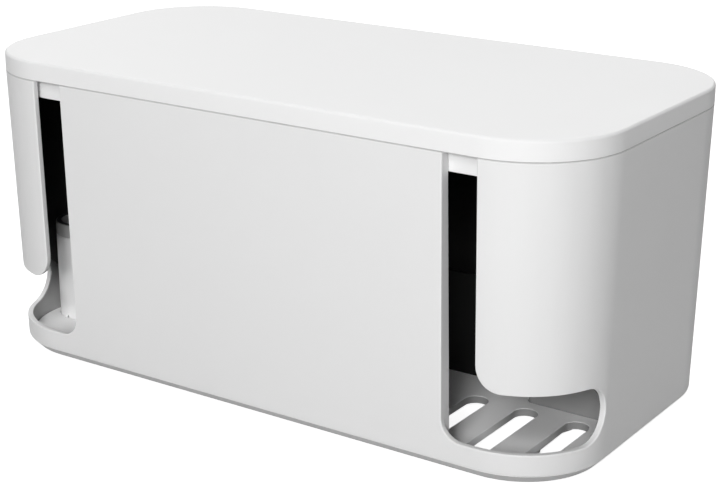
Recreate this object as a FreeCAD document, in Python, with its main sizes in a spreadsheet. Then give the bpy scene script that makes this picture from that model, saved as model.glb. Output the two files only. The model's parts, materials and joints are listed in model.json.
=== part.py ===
"""Cable management box: a drafted, round-cornered box with a lift-off lid and two J-shaped openings.

Millimetres, +Z up. The origin lies on the surface that the box stands on, under the middle of the
plan. +X runs along the box to the right, +Y to the back, and both openings are at the front.
"""
import FreeCAD, Part
import math
import os
import Sketcher

# Driving sizes. Every other length in this file is worked out from these.
SIZES = {
    # whole box
    "box_long": 300.0,
    "box_deep": 152.4,
    "box_high": 137.0,
    "corner_round": 39.7,
    "wall_thick": 2.6,
    "wall_lean": 2.85,
    "foot_stand": 1.0,
    # lid
    "lid_band": 8.4,
    "lid_plate": 2.8,
    "lid_edge_ease": 0.8,
    "skirt_drop": 8.7,
    "skirt_thick": 1.8,
    "skirt_gap": 0.7,
    "fin_wide": 6.0,
    "fin_gap": 0.5,
    "fin_spread": 20.0,
    "lid_rib_thick": 1.2,
    "lid_rib_drop": 3.2,
    "lid_rib_inset": 78.0,
    # base plate
    "bevel_high": 4.1,
    "bevel_inset": 3.95,
    "floor_high": 4.9,
    "floor_thick": 3.5,
    "floor_gap": 0.25,
    "rim_wide": 7.0,
    "base_rib_thick": 1.6,
    "base_rib_lift": 0.4,
    "base_rib_inset": 78.0,
    "base_rib_front": 3.6,
    "base_rib_rear_inset": 44.2,
    # finger vents
    "vent_wide": 10.4,
    "vent_pitch": 23.5,
    "vent_end_inset": 24.6,
    "vent_rest_gap": 5.0,
    "vent_rear": 12.3,
    "vent_front_inset": 15.2,
    # openings at the front corners
    "slot_wide": 14.95,
    "lip_high": 13.0,
    "opening_high": 24.3,
    "opening_round": 8.6,
    "flap_round": 10.4,
    "opening_end": 37.9,
    # return ribs beside the slots
    "return_wide": 2.4,
    "return_top": 2.2,
    "return_foot": 4.2,
    "return_gap": 0.2,
    # lining
    "liner_thick": 0.8,
    "liner_gap": 0.1,
    "liner_edge": 0.8,
    "liner_top_gap": 1.0,
    "liner_step": 20.0,
    # divider
    "divider_thick": 2.5,
    "divider_front": 5.9,
    "divider_top": 50.6,
    "divider_round": 6.0,
    "divider_gap": 0.15,
    "divider_end_gap": 1.6,
    "clip_wide": 8.0,
    "clip_thick": 1.8,
    "clip_high": 9.0,
    "clip_spread_share": 0.28,
    # rests
    "rest_top": 44.7,
    "rest_wall": 2.0,
    "rest_gap": 0.3,
    "left_rest_inset": 34.6,
    "left_rest_deep": 19.0,
    "left_rest_long": 32.0,
    "left_rest_round": 12.5,
    "right_rest_front": 6.3,
    "right_rest_deep": 26.0,
    "right_rest_long": 47.2,
    "right_rest_round": 3.0,
    "rest_corner_round": 3.0,
    "hook_wide": 8.0,
    "hook_reach": 0.8,
    "hook_high": 1.0,
    "hook_gap": 0.2,
    "lip_thick": 3.0,
    "lip_rise": 6.3,
    # rubber feet
    "foot_round": 5.5,
    "foot_sink": 1.2,
    "foot_gap": 0.1,
    "foot_inset": 32.2,
    "foot_pad_wall": 0.8,
    # base screws and their bosses
    "screw_round": 1.45,
    "screw_gap": 0.15,
    "pilot_gap": 0.03,
    "screw_long": 10.0,
    "head_round": 2.8,
    "head_high": 1.6,
    "head_gap": 0.3,
    "boss_round": 3.4,
    "boss_long": 16.0,
    "boss_web": 2.0,
    "boss_gap": 0.05,
    "sink_edge": 1.0,
    "boss_inset": 80.0,
}

# Two heights closer than this are the same.
SAME_LEVEL = 0.001

doc = FreeCAD.newDocument("cable_box")
sheet = doc.addObject("Spreadsheet::Sheet", "Sizes")
for row, (alias, length) in enumerate(SIZES.items(), start=1):
    sheet.set(f"A{row}", alias)
    sheet.set(f"B{row}", str(length))
    sheet.setAlias(f"B{row}", alias)
doc.recompute()


def size(alias):
    """Expression that reads one driving size from the sheet."""
    return f"Sizes.{alias}"


def number(expression):
    """Present value of an expression, as a plain number."""
    result = sheet.evalExpression(expression.replace("Sizes.", ""))
    return float(getattr(result, "Value", result))


# Heights and plan sizes that several pieces share, written as expressions of the driving sizes.
HALF_LONG = f"{size('box_long')} / 2"
HALF_DEEP = f"{size('box_deep')} / 2"
BASE_FOOT = size("foot_stand")
SHELL_FOOT = f"{size('foot_stand')} + {size('bevel_high')}"
FLOOR_TOP = f"{size('foot_stand')} + {size('floor_high')}"
FLOOR_UNDER = f"{FLOOR_TOP} - {size('floor_thick')}"
LID_TOP = f"{size('foot_stand')} + {size('box_high')}"
SEAM = f"{LID_TOP} - {size('lid_band')}"
LIP_TOP = f"{size('foot_stand')} + {size('lip_high')}"
OPENING_TOP = f"{LIP_TOP} + {size('opening_high')}"
REST_TOP = f"{size('foot_stand')} + {size('rest_top')}"
SLOT_FAR = f"{HALF_LONG} - {size('corner_round')}"
SLOT_NEAR = f"{SLOT_FAR} - {size('slot_wide')}"
DIVIDER_REAR = f"{size('divider_front')} + {size('divider_thick')}"
LINER_BACK = f"{size('wall_thick')} + {size('liner_gap')}"
LINER_FACE = f"{LINER_BACK} + {size('liner_thick')}"
REST_OUTER = f"{HALF_LONG} - {size('wall_lean')} - ({LINER_FACE}) - {size('rest_gap')}"
LEFT_REST_NEAR = f"{REST_OUTER} - {size('left_rest_long')}"
LEFT_REST_FRONT = f"{HALF_DEEP} - {size('left_rest_inset')}"
LEFT_REST_REAR = f"{LEFT_REST_FRONT} - {size('left_rest_deep')}"
RIGHT_REST_NEAR = f"{REST_OUTER} - {size('right_rest_long')}"
RIGHT_REST_REAR = f"{size('right_rest_deep')} - {size('right_rest_front')}"
VENT_OUTER = f"{HALF_LONG} - {size('vent_end_inset')}"
VENT_REACH = f"{VENT_OUTER} + {LEFT_REST_NEAR} - {size('vent_wide')} / 2 - {size('vent_rest_gap')}"
FOOT_SPREAD = f"{VENT_OUTER} - {size('vent_pitch')} / 2"
FOOT_BACK = f"{HALF_DEEP} - {size('foot_inset')}"
BOSS_SPREAD = f"{HALF_LONG} - {size('boss_inset')}"
DIVIDER_LEFT = f"-({REST_OUTER}) + {size('divider_end_gap')}"
DIVIDER_RIGHT = f"{RIGHT_REST_NEAR} - {size('rest_gap')} - {size('divider_end_gap')}"
PILOT_ROUND = f"{size('screw_round')} + {size('pilot_gap')}"
HOLE_ROUND = f"{size('screw_round')} + {size('screw_gap')}"
SINK_ROUND = f"{size('head_round')} + {size('head_gap')}"
BEVEL_BACK = f"{HALF_DEEP} - {size('wall_lean')} - {size('bevel_inset')}"
BOSS_BACK = f"{BEVEL_BACK} - {size('sink_edge')} - ({SINK_ROUND})"
LINER_LOW = f"{OPENING_TOP} + {size('liner_edge')}"
LINER_HIGH = f"{SEAM} - {size('skirt_drop')} - {size('liner_top_gap')}"


def lean_at(height):
    """How far the wall's face lies inside the lid's outline at a height."""
    return f"{size('wall_lean')} * (({SEAM}) - ({height})) / (({SEAM}) - ({SHELL_FOOT}))"


def new_body(label):
    """Empty body whose label names its piece."""
    body = doc.addObject("PartDesign::Body", label)
    body.Label = label
    return body


def origin_plane(body, role):
    """One of a body's own origin planes or axes."""
    return next(item for item in body.Origin.OriginFeatures if item.Role == role)


def new_sketch(body, name, role, offset="0"):
    """Sketch on one of the body's origin planes, moved along its normal."""
    sketch = body.newObject("Sketcher::SketchObject", name)
    sketch.AttachmentSupport = [(origin_plane(body, role), "")]
    sketch.MapMode = "FlatFace"
    sketch.setExpression("AttachmentOffset.Base.z", offset)
    return sketch


def pin_size(sketch, constraint, expression):
    """Add a dimension and tie it to the sheet."""
    index = sketch.addConstraint(constraint)
    sketch.setExpression(f"Constraints[{index}]", expression)


def pin_place(sketch, kind, geometry, point, expression):
    """Tie one coordinate of a point to the sheet, on either side of the sketch's origin."""
    value = number(expression)
    if value == 0:
        axis = -2 if kind == "DistanceX" else -1
        sketch.addConstraint(Sketcher.Constraint("PointOnObject", geometry, point, axis))
    elif value > 0:
        pin_size(sketch, Sketcher.Constraint(kind, -1, 1, geometry, point, value), expression)
    else:
        pin_size(sketch, Sketcher.Constraint(kind, geometry, point, -1, 1, -value), f"-({expression})")


def square_outline(sketch, corners):
    """Closed outline of upright and level sides.

    Each corner is (x, y, rounding), as expressions, and a sharp corner has no rounding.
    """
    count = len(corners)
    points = [FreeCAD.Vector(number(x), number(y), 0) for x, y, _ in corners]
    ways = []
    for index in range(count):
        step = points[(index + 1) % count] - points[index]
        ways.append(step.normalize())
    leaves = []
    enters = []
    for index, (_, _, rounding) in enumerate(corners):
        inset = number(rounding) if rounding else 0
        enters.append(points[index] - ways[index - 1] * inset)
        leaves.append(points[index] + ways[index] * inset)
    lines = []
    for index in range(count):
        line = Part.LineSegment(leaves[index], enters[(index + 1) % count])
        lines.append(sketch.addGeometry(line, False))
        upright = abs(ways[index].x) < abs(ways[index].y)
        kind = "Vertical" if upright else "Horizontal"
        sketch.addConstraint(Sketcher.Constraint(kind, lines[index]))
    for index, (x, y, rounding) in enumerate(corners):
        before = lines[index - 1]
        after = lines[index]
        if not rounding:
            sketch.addConstraint(Sketcher.Constraint("Coincident", before, 2, after, 1))
            continue
        round_corner(sketch, (before, after), (enters[index], leaves[index]), ways[index - 1], rounding)
    for index, (x, y, _) in enumerate(corners):
        upright = abs(ways[index].x) < abs(ways[index].y)
        kind = "DistanceX" if upright else "DistanceY"
        pin_place(sketch, kind, lines[index], 1, x if upright else y)


def round_corner(sketch, lines, ends, way_in, rounding):
    """Arc between two sides of an outline, tangent to both."""
    before, after = lines
    start, finish = ends
    left_turn = way_in.cross(finish - start).z > 0
    side = FreeCAD.Vector(-way_in.y, way_in.x, 0) * (1 if left_turn else -1)
    centre = start + side * number(rounding)
    first, last = (start, finish) if left_turn else (finish, start)
    begin = math.atan2((first - centre).y, (first - centre).x)
    stop = math.atan2((last - centre).y, (last - centre).x)
    if stop < begin:
        stop += 2 * math.pi
    circle = Part.Circle(centre, FreeCAD.Vector(0, 0, 1), number(rounding))
    arc = sketch.addGeometry(Part.ArcOfCircle(circle, begin, stop), False)
    near, far = (1, 2) if left_turn else (2, 1)
    sketch.addConstraint(Sketcher.Constraint("Tangent", before, 2, arc, near))
    sketch.addConstraint(Sketcher.Constraint("Tangent", arc, far, after, 1))
    pin_size(sketch, Sketcher.Constraint("Radius", arc, number(rounding)), rounding)


def free_outline(sketch, corners):
    """Closed outline of straight sides through points given as expressions."""
    count = len(corners)
    points = [FreeCAD.Vector(number(x), number(y), 0) for x, y in corners]
    lines = []
    for index in range(count):
        line = Part.LineSegment(points[index], points[(index + 1) % count])
        lines.append(sketch.addGeometry(line, False))
    for index, (x, y) in enumerate(corners):
        sketch.addConstraint(Sketcher.Constraint("Coincident", lines[index - 1], 2, lines[index], 1))
        pin_place(sketch, "DistanceX", lines[index], 1, x)
        pin_place(sketch, "DistanceY", lines[index], 1, y)


def plan_outline(sketch, inset, bend=None):
    """The box's rounded plan, moved in by an inset. A bend replaces the corner radius that this gives."""
    half_long = f"{HALF_LONG} - ({inset})"
    half_deep = f"{HALF_DEEP} - ({inset})"
    rounding = bend or f"{size('corner_round')} - ({inset})"
    corners = [
        (f"-({half_long})", f"-({half_deep})", rounding),
        (half_long, f"-({half_deep})", rounding),
        (half_long, half_deep, rounding),
        (f"-({half_long})", half_deep, rounding),
    ]
    square_outline(sketch, corners)


def block_outline(sketch, left, front, right, rear):
    """Sharp rectangle between four places."""
    corners = [(left, front, None), (right, front, None), (right, rear, None), (left, rear, None)]
    square_outline(sketch, corners)


def circles(sketch, places, radius):
    """One circle at each place."""
    for x, y in places:
        centre = FreeCAD.Vector(number(x), number(y), 0)
        circle = Part.Circle(centre, FreeCAD.Vector(0, 0, 1), number(radius))
        index = sketch.addGeometry(circle, False)
        pin_place(sketch, "DistanceX", index, 3, x)
        pin_place(sketch, "DistanceY", index, 3, y)
        pin_size(sketch, Sketcher.Constraint("Radius", index, number(radius)), radius)


def pad(body, name, sketch, length, reverse=False, middle=False):
    """Raise a sketch by a length."""
    feature = body.newObject("PartDesign::Pad", name)
    feature.Profile = sketch
    feature.setExpression("Length", length)
    feature.Reversed = reverse
    feature.Midplane = middle
    sketch.Visibility = False
    return feature


def pocket(body, name, sketch, length=None, reverse=False):
    """Cut a sketch to a depth, or right through where no depth is given."""
    feature = body.newObject("PartDesign::Pocket", name)
    feature.Profile = sketch
    feature.Reversed = reverse
    if length is None:
        feature.Type = "ThroughAll"
    else:
        feature.setExpression("Length", length)
    sketch.Visibility = False
    return feature


def loft(body, name, kind, sections):
    """Straight-sided loft through sketches."""
    feature = body.newObject(f"PartDesign::{kind}Loft", name)
    feature.Profile = sections[0]
    feature.Sections = sections[1:]
    feature.Ruled = True
    for section in sections:
        section.Visibility = False
    return feature


def mirror(body, name, features):
    """Copy features to the other side of the box's middle plane."""
    feature = body.newObject("PartDesign::Mirrored", name)
    feature.Originals = features
    feature.MirrorPlane = (origin_plane(body, "YZ_Plane"), [""])
    body.Tip = feature
    return feature


def drafted_ring(body, name, low, high, outside, inside, one_bend=False):
    """Wall that leans with the box between two heights, between two insets.

    The corner radius shrinks with the lean, or keeps one bend from foot to head.
    """
    for kind, word, inset in (("Additive", "outer", outside), ("Subtractive", "inner", inside)):
        bend = f"{size('corner_round')} - ({inset})" if one_bend else None
        sections = []
        for level, height in (("foot", low), ("head", high)):
            sketch = new_sketch(body, f"{name}_{word}_{level}", "XY_Plane", height)
            plan_outline(sketch, f"{lean_at(height)} + ({inset})", bend)
            sections.append(sketch)
        loft(body, f"{name}_{word}", kind, sections)


def four_places(spread, back):
    """The four places that mirror one another in both middle planes."""
    return [
        (f"-({spread})", f"-({back})"),
        (spread, f"-({back})"),
        (spread, back),
        (f"-({spread})", back),
    ]


def make_body_shell():
    """Drafted wall with its two J-shaped openings, return ribs and screw bosses."""
    body = new_body("body_shell")
    drafted_ring(body, "wall", SHELL_FOOT, SEAM, "0", size("wall_thick"))
    doc.recompute()

    # A rib stands behind the wall along each slot's inner side and gets deeper towards the floor.
    rib_foot = f"{FLOOR_TOP} + {size('boss_gap')}"
    rib_head = f"{SEAM} - {size('return_gap')}"
    rib = new_sketch(body, "return_side", "YZ_Plane", f"{SLOT_NEAR} - {size('return_wide')}")
    face_foot = f"{HALF_DEEP} - ({lean_at(rib_foot)}) - {size('wall_thick')}"
    face_head = f"{HALF_DEEP} - ({lean_at(rib_head)}) - {size('wall_thick')}"
    half_wall = f"{size('wall_thick')} / 2"
    free_outline(rib, [
        (f"-({face_foot}) - {half_wall}", rib_foot),
        (f"-({face_foot}) + {size('return_foot')}", rib_foot),
        (f"-({face_head}) + {size('return_top')}", rib_head),
        (f"-({face_head}) - {half_wall}", rib_head),
    ])
    rib_pad = pad(body, "return_rib", rib, size("return_wide"))
    mirror(body, "return_ribs", [rib_pad])

    # The slot and the front of the foot opening, with the flap's free corner.
    past_seam = f"{SEAM} + {size('lid_band')}"
    turn = f"{SLOT_FAR} + {size('flap_round')} + {size('wall_thick')}"
    front = new_sketch(body, "opening_front_face", "XZ_Plane")
    square_outline(front, [
        (SLOT_NEAR, past_seam, None),
        (SLOT_NEAR, LIP_TOP, size("opening_round")),
        (turn, LIP_TOP, None),
        (turn, OPENING_TOP, None),
        (SLOT_FAR, OPENING_TOP, size("flap_round")),
        (SLOT_FAR, past_seam, None),
    ])
    front_cut = pocket(body, "opening_front", front, None, reverse=True)

    # The rest of the foot opening, which wraps the corner and ends in a half round on the side.
    end_round = f"{size('opening_high')} / 2"
    start = f"{SLOT_NEAR} + {size('opening_round')}"
    side = new_sketch(body, "opening_side_face", "YZ_Plane", start)
    end_centre = f"{size('opening_end')} + {end_round}"
    past_front = f"{HALF_DEEP} + {size('wall_thick')}"
    half_round_outline(side, f"-({past_front})", f"-({end_centre})", LIP_TOP, OPENING_TOP)
    side_cut = pocket(body, "opening_side", side, None, reverse=True)
    mirror(body, "openings", [front_cut, side_cut])

    # Bosses on the front and back walls take the base plate's screws.
    boss_foot = f"{FLOOR_TOP} + {size('boss_gap')}"
    places = four_places(BOSS_SPREAD, BOSS_BACK)
    boss = new_sketch(body, "boss_plan", "XY_Plane", boss_foot)
    circles(boss, places, size("boss_round"))
    pad(body, "bosses", boss, size("boss_long"))
    web_tip = f"{HALF_DEEP} - {size('wall_lean')} - {half_wall}"
    half_web = f"{size('boss_web')} / 2"
    for name, sign in (("left", "-1"), ("right", "1")):
        web = new_sketch(body, f"boss_web_{name}_plan", "XY_Plane", boss_foot)
        sides = [f"{sign} * ({BOSS_SPREAD}) {way} {half_web}" for way in ("-", "+")]
        block_outline(web, sides[0], f"-({web_tip})", sides[1], f"-({BOSS_BACK})")
        block_outline(web, sides[0], BOSS_BACK, sides[1], web_tip)
        pad(body, f"boss_web_{name}", web, size("boss_long"))
    pilot = new_sketch(body, "pilot_plan", "XY_Plane", boss_foot)
    circles(pilot, places, PILOT_ROUND)
    pocket(body, "pilots", pilot, f"{size('boss_long')} - {size('wall_thick')}", reverse=True)
    return body


def half_round_outline(sketch, start, centre, low, high):
    """Outline with one square end and one half-round end, lying along the sketch's x axis."""
    radius = f"(({high}) - ({low})) / 2"
    middle = f"(({high}) + ({low})) / 2"
    first = number(start)
    turn = number(centre)
    bottom = number(low)
    top = number(high)
    vector = FreeCAD.Vector
    lower = sketch.addGeometry(Part.LineSegment(vector(first, bottom, 0), vector(turn, bottom, 0)), False)
    circle = Part.Circle(vector(turn, number(middle), 0), vector(0, 0, 1), number(radius))
    arc = sketch.addGeometry(Part.ArcOfCircle(circle, -math.pi / 2, math.pi / 2), False)
    upper = sketch.addGeometry(Part.LineSegment(vector(turn, top, 0), vector(first, top, 0)), False)
    end = sketch.addGeometry(Part.LineSegment(vector(first, top, 0), vector(first, bottom, 0)), False)
    sketch.addConstraint(Sketcher.Constraint("Horizontal", lower))
    sketch.addConstraint(Sketcher.Constraint("Horizontal", upper))
    sketch.addConstraint(Sketcher.Constraint("Vertical", end))
    sketch.addConstraint(Sketcher.Constraint("Tangent", lower, 2, arc, 1))
    sketch.addConstraint(Sketcher.Constraint("Tangent", arc, 2, upper, 1))
    sketch.addConstraint(Sketcher.Constraint("Coincident", upper, 2, end, 1))
    sketch.addConstraint(Sketcher.Constraint("Coincident", end, 2, lower, 1))
    pin_place(sketch, "DistanceX", end, 1, start)
    pin_place(sketch, "DistanceX", arc, 3, centre)
    pin_place(sketch, "DistanceY", lower, 1, low)
    pin_place(sketch, "DistanceY", upper, 1, high)


def make_lid():
    """Flat lid: top plate, outer band, a skirt with fins that drops inside the wall, and ribs."""
    body = new_body("lid")
    outline = new_sketch(body, "lid_plan", "XY_Plane", SEAM)
    plan_outline(outline, "0")
    pad(body, "lid_slab", outline, size("lid_band"))
    doc.recompute()

    ease_edges(body, "lid_edge", LID_TOP, size("lid_edge_ease"))

    # The skirt hangs just inside the return ribs, with a groove between it and the band.
    skirt_outer = f"{size('wall_thick')} + {size('return_top')} + {size('skirt_gap')}"
    skirt_inner = f"{skirt_outer} + {size('skirt_thick')}"
    skirt_foot = f"{SEAM} - {size('skirt_drop')}"
    skirt = new_sketch(body, "skirt_plan", "XY_Plane", skirt_foot)
    plan_outline(skirt, skirt_outer)
    pad(body, "skirt_slab", skirt, size("skirt_drop"))
    groove_deep = f"{size('lid_band')} - {size('lid_plate')}"
    groove = new_sketch(body, "lid_groove_plan", "XY_Plane", SEAM)
    plan_outline(groove, size("wall_thick"))
    plan_outline(groove, skirt_outer)
    pocket(body, "lid_groove", groove, groove_deep, reverse=True)
    hollow = new_sketch(body, "hollow_plan", "XY_Plane", skirt_foot)
    plan_outline(hollow, skirt_inner)
    pocket(body, "hollow", hollow, f"{size('skirt_drop')} + {groove_deep}", reverse=True)

    # Fins on the skirt's ends and back reach to the wall, so that the lid can't slide about.
    half_fin = f"{size('fin_wide')} / 2"
    fin_root = f"{skirt_outer} + {size('skirt_thick')} / 2"
    fin_tip = f"{size('wall_thick')} + {size('fin_gap')}"
    fins = new_sketch(body, "fin_plan", "XY_Plane", skirt_foot)
    for sign in ("-1", "1"):
        near, far = f"{sign} * ({HALF_LONG} - ({fin_root}))", f"{sign} * ({HALF_LONG} - ({fin_tip}))"
        for way in ("-1", "1"):
            centre = f"{way} * {size('fin_spread')}"
            block_outline(fins, near, f"{centre} - {half_fin}", far, f"{centre} + {half_fin}")
        centre = f"{sign} * ({HALF_LONG} - {size('lid_rib_inset')})"
        back, tip = f"{HALF_DEEP} - ({fin_root})", f"{HALF_DEEP} - ({fin_tip})"
        block_outline(fins, f"{centre} - {half_fin}", back, f"{centre} + {half_fin}", tip)
    pad(body, "fins", fins, size("skirt_drop"))

    # Two cross ribs and one long rib stiffen the plate and run into the skirt.
    rib_foot = f"{LID_TOP} - {size('lid_plate')} - {size('lid_rib_drop')}"
    ribs = new_sketch(body, "lid_rib_plan", "XY_Plane", rib_foot)
    half_rib = f"{size('lid_rib_thick')} / 2"
    reach_back = f"{HALF_DEEP} - ({fin_root})"
    reach_side = f"{HALF_LONG} - ({fin_root})"
    spread = f"{HALF_LONG} - {size('lid_rib_inset')}"
    free_cross(ribs, spread, half_rib, reach_side, reach_back)
    pad(body, "lid_ribs", ribs, size("lid_rib_drop"))
    return body


def free_cross(sketch, spread, half_rib, reach_side, reach_back):
    """One outline of a long rib crossed by two cross ribs."""
    near = f"{spread} - {half_rib}"
    far = f"{spread} + {half_rib}"
    right = [
        (near, f"-({half_rib})"),
        (near, f"-({reach_back})"),
        (far, f"-({reach_back})"),
        (far, f"-({half_rib})"),
        (reach_side, f"-({half_rib})"),
        (reach_side, half_rib),
        (far, half_rib),
        (far, reach_back),
        (near, reach_back),
        (near, half_rib),
    ]
    left = [(f"-({x})", f"-({y})") for x, y in right]
    square_outline(sketch, [(x, y, None) for x, y in right + left])


def ease_edges(body, name, height, ease):
    """Chamfer the edges of a body's last feature that lie wholly at one height."""
    solid = body.Tip
    level = number(height)
    names = []
    for index, edge in enumerate(solid.Shape.Edges, start=1):
        box = edge.BoundBox
        if math.isclose(box.ZMin, level, abs_tol=SAME_LEVEL) and box.ZLength < SAME_LEVEL:
            names.append(f"Edge{index}")
    easing = body.newObject("PartDesign::Chamfer", name)
    easing.Base = (solid, names)
    easing.setExpression("Size", ease)


def make_base_plate():
    """Bevelled rim with a raised floor, finger vents, seats for the rests and clips for the divider."""
    body = new_body("base_plate")
    lean = size("wall_lean")
    foot = new_sketch(body, "bevel_foot", "XY_Plane", BASE_FOOT)
    plan_outline(foot, f"{lean} + {size('bevel_inset')}")
    head = new_sketch(body, "bevel_head", "XY_Plane", SHELL_FOOT)
    plan_outline(head, lean)
    loft(body, "bevel", "Additive", [foot, head])

    floor_inset = f"{lean} + {size('wall_thick')} + {size('floor_gap')}"
    floor = new_sketch(body, "floor_plan", "XY_Plane", SHELL_FOOT)
    plan_outline(floor, floor_inset)
    pad(body, "floor", floor, f"{size('floor_high')} - {size('bevel_high')}")

    under = new_sketch(body, "under_plan", "XY_Plane", BASE_FOOT)
    plan_outline(under, f"{lean} + {size('bevel_inset')} + {size('rim_wide')}")
    pocket(body, "under_hollow", under, f"{FLOOR_UNDER} - ({BASE_FOOT})", reverse=True)

    # Underside: pads for the feet, and ribs across the rear half.
    pads = new_sketch(body, "foot_pad_plan", "XY_Plane", BASE_FOOT)
    feet = four_places(FOOT_SPREAD, FOOT_BACK)
    half_pad = f"{size('foot_round')} + {size('foot_gap')} + {size('foot_pad_wall')}"
    for x, y in feet:
        block_outline(
            pads, f"{x} - ({half_pad})", f"{y} - ({half_pad})", f"{x} + ({half_pad})", f"{y} + ({half_pad})"
        )
    pad(body, "foot_pads", pads, f"{FLOOR_UNDER} - ({BASE_FOOT})")
    rib_foot = f"{BASE_FOOT} + {size('base_rib_lift')}"
    rib_high = f"{FLOOR_UNDER} - ({rib_foot})"
    reach_side = f"{HALF_LONG} - {lean} - {size('bevel_inset')} - {size('rim_wide')} / 2"
    reach_back = f"{HALF_DEEP} - {lean} - {size('bevel_inset')} - {size('rim_wide')} / 2"
    rear_rib = f"{HALF_DEEP} - {size('base_rib_rear_inset')}"
    for name, place in (("front", f"-{size('base_rib_front')}"), ("rear", rear_rib)):
        rib = new_sketch(body, f"long_rib_{name}_plan", "XY_Plane", rib_foot)
        block_outline(rib, f"-({reach_side})", place, reach_side, f"{place} + {size('base_rib_thick')}")
        pad(body, f"long_rib_{name}", rib, rib_high)
    for name, place in (("left", "-1"), ("middle", "0"), ("right", "1")):
        rib = new_sketch(body, f"cross_rib_{name}_plan", "XY_Plane", rib_foot)
        centre = f"{place} * ({HALF_LONG} - {size('base_rib_inset')})"
        half_rib = f"{size('base_rib_thick')} / 2"
        block_outline(
            rib, f"{centre} - {half_rib}", f"-{size('base_rib_front')}", f"{centre} + {half_rib}", reach_back
        )
        pad(body, f"cross_rib_{name}", rib, rib_high)

    # Row of finger vents along the front half, from the right end.
    vent = new_sketch(body, "vent_plan", "XY_Plane", FLOOR_TOP)
    half_vent = f"{size('vent_wide')} / 2"
    vent_front = f"-({HALF_DEEP} - {size('vent_front_inset')})"
    vent_outline(vent, VENT_OUTER, half_vent, vent_front, f"-{size('vent_rear')}")
    vent_cut = pocket(body, "vent", vent)
    row = body.newObject("PartDesign::LinearPattern", "vents")
    row.Originals = [vent_cut]
    row.Direction = (origin_plane(body, "X_Axis"), [""])
    row.Reversed = True
    steps = f"floor(({VENT_REACH}) / {size('vent_pitch')})"
    row.setExpression("Length", f"{size('vent_pitch')} * {steps}")
    row.setExpression("Occurrences", f"{steps} + 1")
    body.Tip = row

    # Shallow seats locate the rests and run out at the floor's ends, and a groove locates the divider.
    seat_deep = f"{size('floor_high')} - {size('bevel_high')}"
    gap = size("rest_gap")
    left_seat = new_sketch(body, "left_seat_plan", "XY_Plane", FLOOR_TOP)
    rest_outline(left_seat, "left", f"-({gap})")
    pocket(body, "left_seat", left_seat, seat_deep)
    right_seat = new_sketch(body, "right_seat_plan", "XY_Plane", FLOOR_TOP)
    rest_outline(right_seat, "right", f"-({gap})")
    pocket(body, "right_seat", right_seat, seat_deep)
    ends = new_sketch(body, "seat_end_plan", "XY_Plane", FLOOR_TOP)
    turn = f"-({LEFT_REST_FRONT}) + {size('left_rest_round')}"
    block_outline(ends, f"-({HALF_LONG})", turn, f"-({REST_OUTER})", f"-({LEFT_REST_REAR}) + {gap}")
    front = f"-{size('right_rest_front')} - {gap}"
    block_outline(ends, REST_OUTER, front, HALF_LONG, f"{RIGHT_REST_REAR} + {gap}")
    pocket(body, "seat_ends", ends, seat_deep)
    groove = new_sketch(body, "groove_plan", "XY_Plane", FLOOR_TOP)
    divider_plan(groove, size("divider_gap"))
    pocket(body, "groove", groove, seat_deep)

    # Pairs of clips hold the divider upright.
    middle = f"({DIVIDER_LEFT} + {DIVIDER_RIGHT}) / 2"
    spread = f"{size('clip_spread_share')} * ({DIVIDER_RIGHT} - ({DIVIDER_LEFT}))"
    for index in range(3):
        place = f"({middle}) + {index - 1} * {spread}"
        clips = new_sketch(body, f"clip_{index + 1}_plan", "XY_Plane", FLOOR_TOP)
        half_clip = f"{size('clip_wide')} / 2"
        face = f"{size('divider_front')} - {size('divider_gap')}"
        back = f"{DIVIDER_REAR} + {size('divider_gap')}"
        sides = (f"{place} - {half_clip}", f"{place} + {half_clip}")
        block_outline(clips, sides[0], f"{face} - {size('clip_thick')}", sides[1], face)
        block_outline(clips, sides[0], back, sides[1], f"{back} + {size('clip_thick')}")
        pad(body, f"clip_{index + 1}", clips, size("clip_high"))

    # Slots let the rests' hooks through the floor.
    slots = new_sketch(body, "hook_slot_plan", "XY_Plane", FLOOR_TOP)
    hook_gap = size("hook_gap")
    half_slot = f"({size('hook_wide')} / 2 + {hook_gap})"
    for side in ("left", "right"):
        middle = rest_middle(side)
        for _, face, way in hook_walls(side):
            outer = f"{face} + {way} * {gap}"
            inner = f"{face} - {way} * ({size('rest_wall')} + {hook_gap})"
            block_outline(slots, f"{middle} - {half_slot}", inner, f"{middle} + {half_slot}", outer)
    pocket(body, "hook_slots", slots)

    # Screw holes with sunk heads in the rim, and the feet's recesses.
    places = four_places(BOSS_SPREAD, BOSS_BACK)
    holes = new_sketch(body, "hole_plan", "XY_Plane", FLOOR_TOP)
    circles(holes, places, HOLE_ROUND)
    pocket(body, "holes", holes)
    sinks = new_sketch(body, "sink_plan", "XY_Plane", BASE_FOOT)
    circles(sinks, places, SINK_ROUND)
    pocket(body, "sinks", sinks, f"{size('head_high')} + {size('head_gap')}", reverse=True)
    recess = new_sketch(body, "recess_plan", "XY_Plane", BASE_FOOT)
    circles(recess, feet, f"{size('foot_round')} + {size('foot_gap')}")
    pocket(body, "recesses", recess, size("foot_sink"), reverse=True)
    return body


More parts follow.
